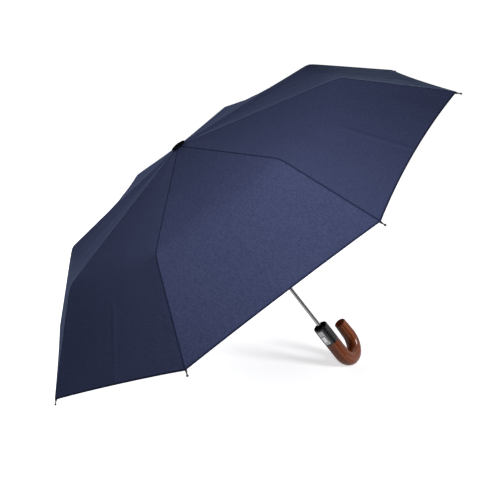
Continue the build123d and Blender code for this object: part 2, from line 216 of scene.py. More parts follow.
# %% Colours and surfaces
def colour(red, green, blue):
    """Linear colour from display values between 0 and 255."""
    return tuple(
        (c / 255 / 12.92) if c <= 10 else ((c / 255 + 0.055) / 1.055) ** 2.4
        for c in (red, green, blue)
    )


def surface(name, **constants):
    """New material with a Principled shader. Returns it, its tree and the shader."""
    material = bpy.data.materials.new(name)
    material.use_nodes = True
    tree = Tree(material.node_tree)
    shader = material.node_tree.nodes["Principled BSDF"]
    for socket, value in constants.items():
        shader.inputs[socket.replace("_", " ")].default_value = value
    return material, tree, shader


def feed(tree, shader, **values):
    """Link worked-out values to the shader's sockets."""
    for socket, value in values.items():
        tree.nodes.links.new(value.socket, shader.inputs[socket.replace("_", " ")])


def mixed(tree, factor, first, second):
    """Blend of two colours, each a tuple or another node's colour."""
    inputs = {"Factor": factor, 6: first, 7: second}
    for key in (6, 7):
        if isinstance(inputs[key], tuple):
            inputs[key] = (*inputs[key], 1)
    return tree.add("ShaderNodeMix", {"data_type": "RGBA"}, inputs, 2)


def noise(tree, place, scale, detail=2.0, roughness=0.5):
    """Soft noise between 0 and 1 over a set of coordinates."""
    inputs = {"Vector": place, "Scale": scale, "Detail": detail, "Roughness": roughness}
    return tree.add("ShaderNodeTexNoise", {}, inputs, 0)


def attribute(tree, name, output="Vector"):
    """A value stored on the mesh."""
    return tree.add("ShaderNodeAttribute", {"attribute_name": name}, {}, output)


def stretched(tree, place, x, y, z):
    """The same coordinates, scaled along each axis."""
    settings = {"operation": "MULTIPLY"}
    return tree.add("ShaderNodeVectorMath", settings, {0: place, 1: (x, y, z)}, 0)


def bumped(tree, height, distance, strength=1.0, under=None):
    """Surface normal with a relief of this height, in metres, on top of another one."""
    inputs = {"Height": height, "Distance": distance, "Strength": strength}
    if under is not None:
        inputs["Normal"] = under
    return tree.add("ShaderNodeBump", {}, inputs, 0)


def rise(tree, value, start, end):
    """0 before start, 1 after end, and a smooth step between them."""
    settings = {"interpolation_type": "SMOOTHSTEP"}
    inputs = {"Value": value, "From Min": start, "From Max": end}
    return tree.add("ShaderNodeMapRange", settings, inputs, 0)


# %% [markdown]
# ## The cloth
#
# An umbrella's cover is pongee, a close plain weave of fine polyester yarn with a slight
# satin. Its gores are joined by flat seams over the ribs, and each carries a faint crease down
# its middle from being folded. Seams could be modelled as strips, but they are thinner than a
# millimetre, so all of that is relief on the cloth's own coordinates: how far a point lies
# from the seam, from the hem and from the middle of its gore.


# %% Cloth material
def cloth_material():
    """Navy pongee with felled seams, a stitched hem and folding creases."""
    material, tree, shader = surface(
        "navy_pongee",
        Roughness=0.8,
        Specular_IOR_Level=0.0,
        Sheen_Weight=0.10,
        Sheen_Roughness=0.25,
    )
    shader.inputs["Sheen Tint"].default_value = (0.5, 0.65, 1.0, 1)
    place = attribute(tree, "cloth_place")
    from_seam = tree.add("ShaderNodeSeparateXYZ", {}, {0: attribute(tree, "cloth_edges")})
    node = from_seam.socket.node
    from_hem = Value(tree, node.outputs[1])
    from_middle = Value(tree, node.outputs[2])
    # Colour: slubs in the yarn, and light caught by the satin weave
    slub = noise(tree, stretched(tree, place, 260, 900, 1), 1.0, 3.0, 0.6)
    cloud = noise(tree, stretched(tree, place, 9, 14, 1), 1.0, 2.0, 0.5)
    grainy = rise(tree, slub, 0.34, 0.66)
    plain = mixed(tree, grainy, colour(46, 51, 78), colour(70, 75, 103))
    tone = mixed(tree, cloud, colour(52, 59, 89), colour(60, 67, 98))
    cloth = mixed(tree, 0.5, plain, tone)
    seam_line = 1 - rise(tree, from_seam, 0.0008, 0.0022)
    hem_line = 1 - rise(tree, from_hem, 0.0020, 0.0048)
    dark = seam_line.math("MAXIMUM", hem_line)
    cloth = mixed(tree, dark * 0.8, cloth, colour(24, 29, 50))
    # Relief: seam allowance, hem fold, middle crease, wrinkles, and puckers by the seams
    seam = (1 - rise(tree, from_seam, 0.0030, 0.0042)) * 0.5
    hem = (1 - rise(tree, from_hem, 0.0050, 0.0060)) * 0.5
    crease = 1 - rise(tree, from_middle, 0.0, 0.009)
    outer = 1 - rise(tree, from_hem, 0.13, 0.17)
    wrinkle = noise(tree, stretched(tree, place, 16, 30, 1), 1.0, 2.0, 0.45)
    near_hem = (1 - rise(tree, from_hem, 0.0, 0.06)) * 0.6 + 0.4
    relief = bumped(tree, seam + hem, 0.0006)
    relief = bumped(tree, crease * outer, 0.0009, 1.0, relief)
    relief = bumped(tree, wrinkle * near_hem, 0.006, 0.5, relief)
    pucker = noise(tree, stretched(tree, place, 75, 22, 1), 1.0, 2.0, 0.5)
    by_seam = 1 - rise(tree, from_seam, 0.004, 0.034)
    relief = bumped(tree, pucker * by_seam, 0.0035, 0.6, relief)
    feed(tree, shader, Base_Color=cloth, Normal=relief)
    return material


cloth = cloth_material()
print("material:", cloth.name)

# %% [markdown]
# ## The wood
#
# The crook is a steamed and bent stick, stained reddish brown and varnished. Its grain bends
# with it. Object coordinates would cut straight through the bend, so the pattern is laid on
# coordinates that were stored while the stick was still straight: two across it and one along.


# %% Wood material
def wood_material():
    """Stained, varnished wood whose grain follows the bend."""
    material, tree, shader = surface(
        "varnished_wood",
        Roughness=0.4,
        Specular_IOR_Level=0.0,
        Coat_Weight=0.5,
        Coat_Roughness=0.07,
    )
    grain = attribute(tree, "grain_place")
    drift = noise(tree, stretched(tree, grain, 40, 40, 6), 1.0, 2.0, 0.5)
    pores = noise(tree, stretched(tree, grain, 900, 900, 28), 1.0, 4.0, 0.65)
    bands = noise(tree, stretched(tree, grain, 150, 150, 4), 1.0, 3.0, 0.55)
    stain = tree.add(
        "ShaderNodeValToRGB",
        {
            "stops": [
                (0.32, colour(64, 27, 12)),
                (0.50, colour(106, 50, 24)),
                (0.68, colour(136, 74, 36)),
            ]
        },
        {0: bands * 0.65 + drift * 0.35},
    )
    tone = mixed(tree, rise(tree, pores, 0.56, 0.72) * 0.5, stain, colour(58, 26, 16))
    feed(tree, shader, Base_Color=tone, Normal=bumped(tree, pores, 0.00006, 0.4))
    return material


wood = wood_material()
print("material:", wood.name)

# %% [markdown]
# ## Metals and plastics
#
# The tubes, the button and its bezel are chromed, the ribs are zinc-plated steel, and the
# outer rods are lacquered black. The mouldings are black or white plastic. One helper makes
# them all from a colour and a dullness, and gives each a slight unevenness, because a perfect
# surface looks like no real one.


# %% Metal and plastic materials
def worked(name, base, metallic, dull, spread, scale, gloss=0.5):
    """Metal or plastic whose roughness varies a little over the surface."""
    material, tree, shader = surface(name, Metallic=metallic, Specular_IOR_Level=gloss)
    place = tree.add("ShaderNodeTexCoord", {}, {}, "Object")
    smears = noise(tree, place, scale, 3.0, 0.6)
    shade = mixed(tree, smears, tuple(0.88 * c for c in base), base)
    feed(tree, shader, Base_Color=shade, Roughness=smears * spread + (dull - spread / 2))
    return material


chrome = worked("bright_chrome", (0.34, 0.34, 0.35), 1.0, 0.16, 0.08, 90)
button_chrome = worked("polished_chrome", (0.62, 0.62, 0.63), 1.0, 0.10, 0.06, 90)
tube_steel = worked("chromed_steel", (0.32, 0.32, 0.33), 1.0, 0.10, 0.04, 60)
rib_steel = worked("zinc_plate", (0.42, 0.42, 0.43), 1.0, 0.38, 0.16, 120)
wire_steel = worked("spring_wire", (0.45, 0.45, 0.46), 1.0, 0.30, 0.10, 200)
black_plastic = worked("glossy_moulding", (0.006, 0.006, 0.007), 0.0, 0.20, 0.10, 140)
cap_plastic = worked("satin_moulding", (0.006, 0.006, 0.008), 0.0, 0.42, 0.12, 110, 0.0)
rod_black = worked("black_enamel", (0.010, 0.010, 0.012), 0.0, 0.34, 0.12, 160)
nylon = worked("white_moulding", (0.72, 0.72, 0.69), 0.0, 0.45, 0.12, 120)
print("materials:", [m.name for m in bpy.data.materials])

# %% [markdown]
# ## The cover's shape
#
# The cover is eight equal gores. One gore obeys one rule. At each distance from the shaft, a
# straight line joins its two ribs. Along a rib the height falls gently to the shoulder and
# then steeply, and a hyperbola rounds the corner between the two slopes. The rounding is tight
# over a rib and wider in the middle, and the hem is cut hollow so that it stays taut. Geometry
# Nodes suit a rule like that: a flat grid is bent by it, and eight turned copies close the
# cover.

# %% The cover's sizes
EYE = 0.004
HUB = 0.026
CORNER_X = max(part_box(f"canopy_panel_{k + 1}")[1].x for k in range(RIBS))
cover = {
    "Eye": EYE,
    "Hub": HUB,
    "Knee": knee[0],
    "Shoulder": elbow[0] + 0.0007,
    "Corner": CORNER_X / math.cos(PHASE),
    "Apex Height": panel_high.z + 0.0007,
    "Shoulder Height": elbow[1] + 0.0066,
    "Corner Height": panel_low.z + 0.0002,
    "Hollow": 0.0035,
    "Ripple": 0.005,
    "Tight": 0.006,
    "Loose": 0.030,
    "Turn": PHASE,
}
print("cover:", {name: round(size, 4) for name, size in cover.items()})


# %% Trees with named inputs
def shape_tree(name, sizes, whole=("Rows", "Columns", "Ribs", "Segments"), points=False):
    """Empty Geometry Nodes tree with a named input for each size."""
    group = bpy.data.node_groups.new(name, "GeometryNodeTree")
    interface = group.interface
    if points:
        interface.new_socket("Points", in_out="INPUT", socket_type="NodeSocketGeometry")
    for size in sizes:
        kind = "NodeSocketInt" if size in whole else "NodeSocketFloat"
        interface.new_socket(size, in_out="INPUT", socket_type=kind)
    interface.new_socket("Shape", in_out="OUTPUT", socket_type="NodeSocketGeometry")
    tree = Tree(group)
    source = group.nodes.new("NodeGroupInput")
    given = {socket.name: Value(tree, socket) for socket in source.outputs if socket.name}
    return tree, given


def close_tree(tree, shape, material):
    """Realize what was instanced, give it its material and end the tree."""
    solid = tree.add("GeometryNodeRealizeInstances", {}, {0: shape})
    painted = tree.add("GeometryNodeSetMaterial", {}, {0: solid, "Material": material})
    end = tree.nodes.nodes.new("NodeGroupOutput")
    tree.nodes.links.new(painted.socket, end.inputs[0])
    return tree.nodes


def grown(name, group, sizes, points=(), edges=(), marks=None):
    """Run a tree once on these points and sizes, and keep the result as a plain mesh."""
    mesh = bpy.data.meshes.new(name)
    mesh.from_pydata([tuple(p) for p in points], edges, [])
    for mark, values in (marks or {}).items():
        layer = mesh.attributes.new(mark, "FLOAT", "POINT")
        layer.data.foreach_set("value", values)
    piece = bpy.data.objects.new(name, mesh)
    modifier = piece.modifiers.new("shape", "NODES")
    modifier.node_group = group
    for item in group.interface.items_tree:
        if item.in_out == "INPUT" and item.name in sizes:
            modifier[item.identifier] = sizes[item.name]
    bpy.context.scene.collection.objects.link(piece)
    depsgraph = bpy.context.evaluated_depsgraph_get()
    done = bpy.data.meshes.new_from_object(
        piece.evaluated_get(depsgraph), preserve_all_data_layers=True, depsgraph=depsgraph
    )
    piece.modifiers.remove(modifier)
    piece.data = done
    done.name = name
    return piece


# %% Node shorthands for shapes
def step(tree, value, start, end, height):
    """Straight climb from 0 at start to this height at end."""
    inputs = {"Value": value, "From Min": start, "From Max": end, "To Max": height}
    return tree.add("ShaderNodeMapRange", {"clamp": True}, inputs, 0)


def vector(tree, x, y, z):
    """Vector from three values."""
    return tree.add("ShaderNodeCombineXYZ", {}, {0: x, 1: y, 2: z})


def stored(tree, shape, name, value, kind="FLOAT_VECTOR", domain="POINT"):
    """Keep a value on the shape under a name."""
    settings = {"data_type": kind, "domain": domain}
    inputs = {"Geometry": shape, "Name": name, "Value": value}
    return tree.add("GeometryNodeStoreNamedAttribute", settings, inputs)


def kept(tree, name, kind="FLOAT_VECTOR"):
    """A value that was stored on the shape earlier."""
    return tree.add("GeometryNodeInputNamedAttribute", {"data_type": kind}, {0: name})


# %% The cover's rule as a tree
def cover_tree():
    """Eight flat grids, bent together by the rule of the gore."""
    tree, size = shape_tree("cover_rule", ["Rows", "Columns", *cover], points=True)
    grid_sizes = {0: 4.0, 1: 2.0, 2: size["Rows"], 3: size["Columns"]}
    grid = tree.add("GeometryNodeMeshGrid", {}, grid_sizes)
    grid = stored(tree, grid, "grid_place", tree.add("GeometryNodeInputPosition"))
    copies = tree.add("GeometryNodeInstanceOnPoints", {}, {0: size["Points"], "Instance": grid})
    flat = tree.add("GeometryNodeRealizeInstances", {}, {0: copies})
    here = tree.add("ShaderNodeSeparateXYZ", {}, {0: kept(tree, "grid_place")})
    band = here + 2.0
    across = Value(tree, here.socket.node.outputs[1])
    middle = 1 - across * across
    gore_number = kept(tree, "gore", "FLOAT")
    # Distance from the shaft, band by band, less the hem's hollow
    reach = size["Eye"] + step(tree, band, 0, 1, size["Hub"] - size["Eye"])
    reach = reach + step(tree, band, 1, 2, size["Knee"] - size["Hub"])
    reach = reach + step(tree, band, 2, 3, size["Shoulder"] - size["Knee"])
    reach = reach + step(tree, band, 3, 4, size["Corner"] - size["Shoulder"])
    share = reach / size["Corner"]
    far = reach - kept(tree, "hem_hollow", "FLOAT") * middle * share**5
    # Height: two slopes and a rounded corner
    gentle = (size["Apex Height"] - size["Shoulder Height"]) / size["Shoulder"]
    skirt_reach = size["Corner"] - size["Shoulder"]
    steep = (size["Shoulder Height"] - size["Corner Height"]) / skirt_reach
    past = far - size["Shoulder"]
    soft = size["Tight"] + (size["Loose"] - size["Tight"]) * middle
    bend = (past * past + soft * soft).math("SQRT")
    height = size["Shoulder Height"] - (gentle + steep) / 2 * past
    height = height - (steep - gentle) / 2 * bend
    # The cloth hangs a little hollow between the ribs, and pulls in soft folds
    hang = share * (1 - share**4) * middle
    height = height - size["Hollow"] * hang
    ripple = noise(tree, vector(tree, far * 4, across * far * 9, gore_number * 7.3), 1.0, 1.0)
    height = height + size["Ripple"] * (ripple - 0.5) * middle * share * (1 - share**12)
    # Turned round the shaft to its own place
    turn = size["Turn"] + (gore_number + 0.5) * PITCH
    outwards = far * math.cos(HALF)
    sideways = far * across * math.sin(HALF)
    x = outwards * turn.math("COSINE") - sideways * turn.math("SINE")
    y = outwards * turn.math("SINE") + sideways * turn.math("COSINE")
    # The cloth's own coordinates are worked out before the points move
    slant = (1 + gentle * gentle).math("SQRT")
    slant_past = (1 + steep * steep).math("SQRT") - slant
    along = far * slant + past.math("MAXIMUM", 0) * slant_past
    flat = stored(tree, flat, "cloth_place", vector(tree, along, sideways, gore_number * 0.37))
    seam = (1 - abs(across)) * far * math.sin(HALF)
    hem = (size["Corner"] - reach) * (slant + slant_past)
    flat = stored(tree, flat, "cloth_edges", vector(tree, seam, hem, abs(sideways)))
    flat = stored(tree, flat, "band", band.math("FLOOR"), "FLOAT", "FACE")
    flat = stored(tree, flat, "right", across.math("SIGN"), "FLOAT", "FACE")
    place = vector(tree, x, y, height)
    bent = tree.add("GeometryNodeSetPosition", {}, {0: flat, "Position": place})
    smooth = tree.add("GeometryNodeSetShadeSmooth", {}, {0: bent})
    return close_tree(tree, smooth, cloth)


# %% Eight gores, each with its own hollow
# How far each gore's hem is cut hollow at its middle, in metres
hem_hollows = (0.006, 0.006, 0.0045, 0.0025, 0.0025, 0.0085, 0.006, 0.006)
rows_per_band = 22
columns_per_half = 20
counts = {"Rows": 4 * rows_per_band + 1, "Columns": 2 * columns_per_half + 1}
gore_marks = {"gore": [float(k) for k in range(RIBS)], "hem_hollow": hem_hollows}
whole_cover = grown(
    "whole_cover", cover_tree(), {**counts, **cover}, [(0, 0, 0)] * RIBS, marks=gore_marks
)
print("cover:", len(whole_cover.data.polygons), "faces")
print("stored:", [a.name for a in whole_cover.data.attributes])

# %% [markdown]
# ## Cutting the cover along the hinges
#
# Cloth folds with the ribs under it, and a rib has three links. So each gore is cut down its
# middle, and across over the hub, the knee and the elbow. Neighbouring pieces keep the same
# points and the same normals along a cut, so nothing shows while the umbrella is open. When it
# shuts, each piece rides on its own link.


# %% Reading the whole cover
def read(attributes, name, count, width):
    """One stored value as an array."""
    data = np.zeros(count * width, np.float32)
    field = "vector" if width == 3 else "value"
    attributes[name].data.foreach_get(field, data)
    return data.reshape(count, width) if width > 1 else data


source = whole_cover.data
point_count = len(source.vertices)
face_count = len(source.polygons)
points = np.array([v.co for v in source.vertices], float)
normals = np.array([n.vector for n in source.vertex_normals], float)
faces = np.array([p.vertices[:] for p in source.polygons])
cloth_place = read(source.attributes, "cloth_place", point_count, 3)
cloth_edges = read(source.attributes, "cloth_edges", point_count, 3)
face_band = read(source.attributes, "band", face_count, 1)
face_right = read(source.attributes, "right", face_count, 1)
gore_attribute = source.attributes["gore"]
gore = np.zeros(len(gore_attribute.data), np.float32)
gore_attribute.data.foreach_get("value", gore)
face_gore = gore if gore_attribute.domain == "FACE" else gore[faces[:, 0]]
upright = normals[:, 2].mean() > 0
print("faces point up:", upright, "gores:", sorted(set(face_gore.astype(int))))


# %% One piece of the cover
def cut(name, chosen):
    """New object with the chosen faces of the cover, their coordinates and normals."""
    picked = faces[chosen]
    used, renumbered = np.unique(picked, return_inverse=True)
    mesh = bpy.data.meshes.new(name)
    corners = renumbered.reshape(picked.shape)
    mesh.from_pydata(points[used].tolist(), [], corners.tolist())
    for label, values in (("cloth_place", cloth_place), ("cloth_edges", cloth_edges)):
        layer = mesh.attributes.new(label, "FLOAT_VECTOR", "POINT")
        layer.data.foreach_set("vector", values[used].astype(np.float32).ravel())
    mesh.polygons.foreach_set("use_smooth", [True] * len(mesh.polygons))
    mesh.materials.append(cloth)
    mesh.normals_split_custom_set_from_vertices(normals[used].tolist())
    piece = bpy.data.objects.new(name, mesh)
    bpy.context.scene.collection.objects.link(piece)
    area = sum(p.area for p in mesh.polygons)
    return piece, area


# %% [markdown]
# A link's strip of cloth narrows towards its rib as the frame folds. The direction of that
# squeeze lies in the gore's plane, square to the rib, so the strip keeps its length. The cells
# below work that direction out, but nothing applies the squeeze.


# %% How each piece moves
def rib_direction(number):
    """Level direction in which a rib points."""
    turn = PHASE + number * PITCH
    return Vector((math.cos(turn), math.sin(turn), 0))


def on_rib(number, reach, height):
    """Point at this distance and height on a rib."""
    return rib_direction(number) * reach + Vector((0, 0, height))


slopes = {
    1: (cover["Apex Height"] - cover["Shoulder Height"]) / cover["Shoulder"],
    3: (cover["Shoulder Height"] - cover["Corner Height"])
    / (cover["Corner"] - cover["Shoulder"]),
}
slopes[2] = slopes[1]


def gather_direction(number, side, band):
    """Unit vector in the gore's plane, square to the rib, away from it on this side."""
    rib = rib_direction(number) - Vector((0, 0, slopes[band]))
    neighbour = rib_direction(number + side) - Vector((0, 0, slopes[band]))
    inward = neighbour - neighbour.project(rib)
    return inward.normalized()


BANDS = {1: ("upper", "top_rib"), 2: ("middle", "middle_rib"), 3: ("skirt", "outer_rib")}
# Extra length that flat_sheet adds to the skirt strip for its turned-in hem
HEM_TURNED_IN = 0.012
reaches = [cover[name] for name in ("Eye", "Hub", "Knee", "Shoulder", "Corner")]


def flat_sheet(band, sides):
    width = reaches[band + 1] * math.sin(HALF) * sides
    length = (reaches[band + 1] - reaches[band]) * math.hypot(1, slopes[max(band, 1)])
    length = length + (HEM_TURNED_IN if band == 3 else 0.0)


# %% [markdown]
# Below the shoulder the cloth near the middle of a gore lies further in than the elbow, seen
# along the outer rib. Squeezed square to the rib, it would stand up over the crown like a
# spike. That corner is a piece of its own on the outer rib. The loop works out the shoulder
# line's direction for it, but doesn't squeeze it. That corner is a piece of its own, squeezed along the
# shoulder line instead.

# %% The corners under the shoulder
centres = points[faces].mean(axis=1)
rib_of_face = np.where(face_right < 0, face_gore, (face_gore + 1) % RIBS)
rib_turns = PHASE + rib_of_face * PITCH
down_rib = np.stack(
    [np.cos(rib_turns), np.sin(rib_turns), np.full(face_count, -slopes[3])], axis=1
) / math.hypot(1, slopes[3])
elbows = np.stack(
    [
        np.cos(rib_turns) * cover["Shoulder"],
        np.sin(rib_turns) * cover["Shoulder"],
        np.full(face_count, cover["Shoulder Height"]),
    ],
    axis=1,
)
past_elbow = ((centres - elbows) * down_rib).sum(axis=1)
in_corner = (face_band == 3) & (past_elbow < 0)
deepest_corner = -past_elbow[in_corner].min()
print("corner faces:", int(in_corner.sum()), "and their depth:", round(float(deepest_corner), 4))


# %% Cut and ride
HUB_BEND_START = 0.008
for number in range(RIBS):
    sides = {
        "left": (1, (face_gore == number) & (face_right < 0)),
        "right": (-1, (face_gore == (number - 1) % RIBS) & (face_right > 0)),
    }
    by_rib = sides["left"][1] | sides["right"][1]
    hub, area = cut(f"cover_hub_{number + 1}", by_rib & (face_band == 0))
    start = on_rib(number, HUB_BEND_START, cover["Apex Height"])
    end = on_rib(number, HUB, cover["Apex Height"])
    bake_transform(hub, "upper_shaft", f"top_rib_{number + 1}", start=start, end=end)
    flat_sheet(0, 2)
    anchor = on_rib(number, cover["Shoulder"], cover["Shoulder Height"])
    for hand, (side, half_gore) in sides.items():
        for band, (part, link) in BANDS.items():
            chosen = half_gore & (face_band == band) & ~in_corner
            piece, area = cut(f"cover_{part}_{number + 1}_{hand}", chosen)
            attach(piece, f"{link}_{number + 1}")
            direction = gather_direction(number, side, band)
            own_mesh(piece)
            flat_sheet(band, 1)
        corner, area = cut(f"cover_corner_{number + 1}_{hand}", half_gore & in_corner)
        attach(corner, f"outer_rib_{number + 1}")
        row = (rib_direction(number + side) - rib_direction(number)).normalized()
        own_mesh(corner)
        size = (cover["Shoulder"] * math.sin(HALF), deepest_corner * math.hypot(1, slopes[3]))
    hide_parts(f"canopy_panel_{number + 1}")
bpy.data.objects.remove(whole_cover)

# %% [markdown]
# ## The crook
#
# A bent stick is a round section carried along a path. The path is straight down from the
# collar, then half a turn, then an arm that leans in slightly. Its thickness is steady to the
# bend, slims along the arm and closes in a round end. The tree works out each point of the
# path from its length along the stick.

# %% The crook's sizes
barrel_top = crook_high.z
barrel_radius = -crook_low.x
bend_start = -0.018
bend_radius = bend_start - crook_low.z - barrel_radius
crook = {
    "Segments": 64,
    "Top": barrel_top,
    "Straight": barrel_top - bend_start,
    "Bend": bend_radius,
    "Bend Angle": math.radians(178),
    "Arm": 0.035,
    "Arm Bend": 0.45,
    "Radius": barrel_radius,
    "End Radius": 0.0126,
    "End Round": 0.0026,
}
print("crook:", {name: round(size, 4) for name, size in crook.items()})


# %% The crook's rule as a tree
def crook_tree():
    """Round section along a bent path, with the grain's coordinates stored on it."""
    tree, size = shape_tree("crook_rule", crook)
    path = tree.add("GeometryNodeCurvePrimitiveLine", {}, {"End": (0, 0, 1)})
    path = tree.add("GeometryNodeResampleCurve", {}, {0: path, "Count": 161})
    path = stored(tree, path, "share", tree.add("GeometryNodeSplineParameter"), "FLOAT")
    share = kept(tree, "share", "FLOAT")
    turned_length = size["Bend"] * size["Bend Angle"]
    total = size["Straight"] + turned_length + size["Arm"]
    # The last points round the rim and close the flat end
    body = step(tree, share, 0.0, 0.85, total - size["End Round"])
    angle = step(tree, share, 0.85, 0.95, math.pi / 2)
    closing = step(tree, share, 0.95, 1.0, 0.98)
    along = body + size["End Round"] * angle.math("SINE") + 0.0006 * closing
    slim = step(tree, along, total - size["Arm"] * 2.2, total, 1.0)
    thick = size["Radius"] - (size["Radius"] - size["End Radius"]) * slim
    radius = thick - size["End Round"] * (1 - angle.math("COSINE"))
    radius = radius * (1 - closing)
    # Place of a point of the path
    straight = along.math("MINIMUM", size["Straight"])
    bend = ((along - size["Straight"]) / size["Bend"]).math("MAXIMUM", 0)
    bend = bend.math("MINIMUM", size["Bend Angle"])
    arm = (along - size["Straight"] - turned_length).math("MAXIMUM", 0)
    lean = arm / size["Arm Bend"]
    swing = size["Arm Bend"] * (1 - lean.math("COSINE"))
    climb = size["Arm Bend"] * lean.math("SINE")
    end = size["Bend Angle"]
    x = size["Bend"] * (1 - bend.math("COSINE"))
    x = x - swing * (end * 0.5).math("SINE") + climb * end.math("SINE")
    z = size["Top"] - straight - size["Bend"] * bend.math("SINE") + climb
    place = vector(tree, x, 0.0, z)
    placed = tree.add("GeometryNodeSetPosition", {}, {0: path, "Position": place})
    placed = stored(tree, placed, "along", along, "FLOAT")
    placed = stored(tree, placed, "thick", radius, "FLOAT")
    round_section = {"Resolution": size["Segments"], "Radius": 1.0}
    ring = tree.add("GeometryNodeCurvePrimitiveCircle", {}, round_section)
    ring = stored(tree, ring, "around", tree.add("GeometryNodeInputPosition"))
    inputs = {0: placed, 1: ring, "Scale": radius, "Fill Caps": True}
    skin = tree.add("GeometryNodeCurveToMesh", {}, inputs)
    flat = tree.add("ShaderNodeSeparateXYZ", {}, {0: kept(tree, "around")})
    sideways = Value(tree, flat.socket.node.outputs[1])
    reach = kept(tree, "thick", "FLOAT")
    grain = vector(tree, flat * reach, sideways * reach, kept(tree, "along", "FLOAT"))
    skin = stored(tree, skin, "grain_place", grain)
    smooth = tree.add("GeometryNodeSetShadeSmooth", {}, {0: skin})
    return close_tree(tree, smooth, wood)


crook_piece = grown("crook", crook_tree(), crook)
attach(crook_piece, "handle")
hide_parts("crook_handle")
print("crook:", len(crook_piece.data.polygons), "faces")

# %% [markdown]
# ## Finishing the machined and moulded pieces
#
# The CAD pieces arrive as loose triangles with hard shading. They could be modelled again, but
# their shapes are already right. A finished copy has its points merged, is shaded smooth except
# at real edges, and takes its material.


# %% Finished copies of CAD pieces
SHARPEST_SMOOTH = math.radians(32)
MERGED_WITHIN = 0.00001


def finished(node, material):
    """Smooth-shaded copy of a CAD piece that stands for it."""
    original = frame["nodes"][node]
    mesh = original.data.copy()
    piece = bpy.data.objects.new(f"{node}_finished", mesh)
    bpy.context.scene.collection.objects.link(piece)
    bpy.context.view_layer.objects.active = piece
    piece.data.materials.clear()
    piece.data.materials.append(material)
    for other in bpy.context.selected_objects:
        other.select_set(False)
    piece.select_set(True)
    bpy.ops.object.mode_set(mode="EDIT")
    bpy.ops.mesh.select_all(action="SELECT")
    bpy.ops.mesh.remove_doubles(threshold=MERGED_WITHIN)
    bpy.ops.mesh.customdata_custom_splitnormals_clear()
    bpy.ops.object.mode_set(mode="OBJECT")
    piece.data.polygons.foreach_set("material_index", [0] * len(piece.data.polygons))
    piece.data.shade_smooth()
    piece.data.set_sharp_from_angle(angle=SHARPEST_SMOOTH)
    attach(piece, original["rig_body"])
    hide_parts(node)


finishes = [
    (("collar",), black_plastic, "black_plastic"),
    (("button_bezel",), chrome, "chrome"),
    (("push_button",), button_chrome, "chrome"),
    (("button_spring",), wire_steel, "spring_steel"),
    (("lower_tube", "middle_tube", "upper_tube"), tube_steel, "tube_steel"),
    (("lower_tube_bush", "middle_tube_bush"), nylon, "nylon"),
    (("crown", "runner"), black_plastic, "black_plastic"),
    (("crown_ring_wire",), rib_steel, "rib_steel"),
    (("crown_cap",), cap_plastic, "cap_plastic"),
]
for nodes, material, slot in finishes:
    for node in nodes:
        finished(node, material)
for number in range(1, RIBS + 1):
    for node in (f"top_rib_{number}", f"middle_rib_{number}", f"stretcher_{number}"):
        finished(node, rib_steel)
    finished(f"outer_rib_{number}", rod_black)

# %% [markdown]
# ## Round rods, tips and rivets
#
# Rods, tips and rivets are all turned shapes: a radius that changes along an axis. They could
# be cylinders and balls joined by hand, but one tree makes them all. It reads lines whose
# points carry a radius, and sweeps a circle along them. The rods take the place of the frame's
# six-sided ones, and the rivets head the pins of the knees, elbows and stretchers.


# %% The turned rule as a tree
def turned_tree(name, material):
    """Circle swept along lines, as wide at each point as its stored radius."""
    tree, size = shape_tree(name, ["Segments"], points=True)
    line = tree.add("GeometryNodeMeshToCurve", {}, {0: size["Points"]})
    round_section = {"Resolution": size["Segments"], "Radius": 1.0}
    ring = tree.add("GeometryNodeCurvePrimitiveCircle", {}, round_section)
    inputs = {0: line, 1: ring, "Scale": kept(tree, "thick", "FLOAT"), "Fill Caps": True}
    skin = tree.add("GeometryNodeCurveToMesh", {}, inputs)
    smooth = tree.add("GeometryNodeSetShadeSmooth", {}, {0: skin})
    return close_tree(tree, smooth, material)


SHARPEST_TURNED = math.radians(40)


def turned(name, group, axes, body, segments):
    """Turned pieces on one body. An axis is a start, a unit direction and its (place, radius)."""
    points, edges, thick = [], [], []
    for start, direction, profile in axes:
        first_point = len(points)
        for place, radius in profile:
            points.append(start + direction * place)
            thick.append(radius)
        edges += [(i, i + 1) for i in range(first_point, len(points) - 1)]
    piece = grown(name, group, {"Segments": segments}, points, edges, {"thick": thick})
    piece.data.set_sharp_from_angle(angle=SHARPEST_TURNED)
    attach(piece, body)


# %% Rods with their tips
ROD_RADIUS = 0.00121
ROD_RISE = 0.0013
ROD_START = 0.0085
FLAT_END = 0.0112
TIP_REACH = 0.010
TIP_GRIP = 0.007
SLEEVE_RADIUS = 0.0019
NECK_RADIUS = 0.0011
BALL_RADIUS = 0.0021
rod_rule = turned_tree("rod_rule", rod_black)


def rod_profile(length):
    """Round rod, then its moulded tip: a sleeve, a slender neck and a ball."""
    rod_end = length - TIP_REACH
    sleeve = rod_end - TIP_GRIP
    centre = length - BALL_RADIUS
    profile = [(ROD_START, ROD_RADIUS), (sleeve, ROD_RADIUS), (sleeve + 0.0004, SLEEVE_RADIUS)]
    profile += [(rod_end, SLEEVE_RADIUS), (rod_end + 0.0035, NECK_RADIUS)]
    for degrees in range(-60, 90, 15):
        angle = math.radians(degrees)
        profile.append(
            (centre + BALL_RADIUS * math.sin(angle), BALL_RADIUS * math.cos(angle))
        )
    profile.append((length, 0.0002))
    return profile


def without_rod(piece, pivot, direction, start):
    """Take the six-sided rod off the copy of an outer rib, and leave its flat end."""
    mesh = bmesh.new()
    mesh.from_mesh(piece.data)
    gone = [v for v in mesh.verts if (v.co - pivot).dot(direction) > start]
    bmesh.ops.delete(mesh, geom=gone, context="VERTS")
    mesh.to_mesh(piece.data)
    mesh.free()


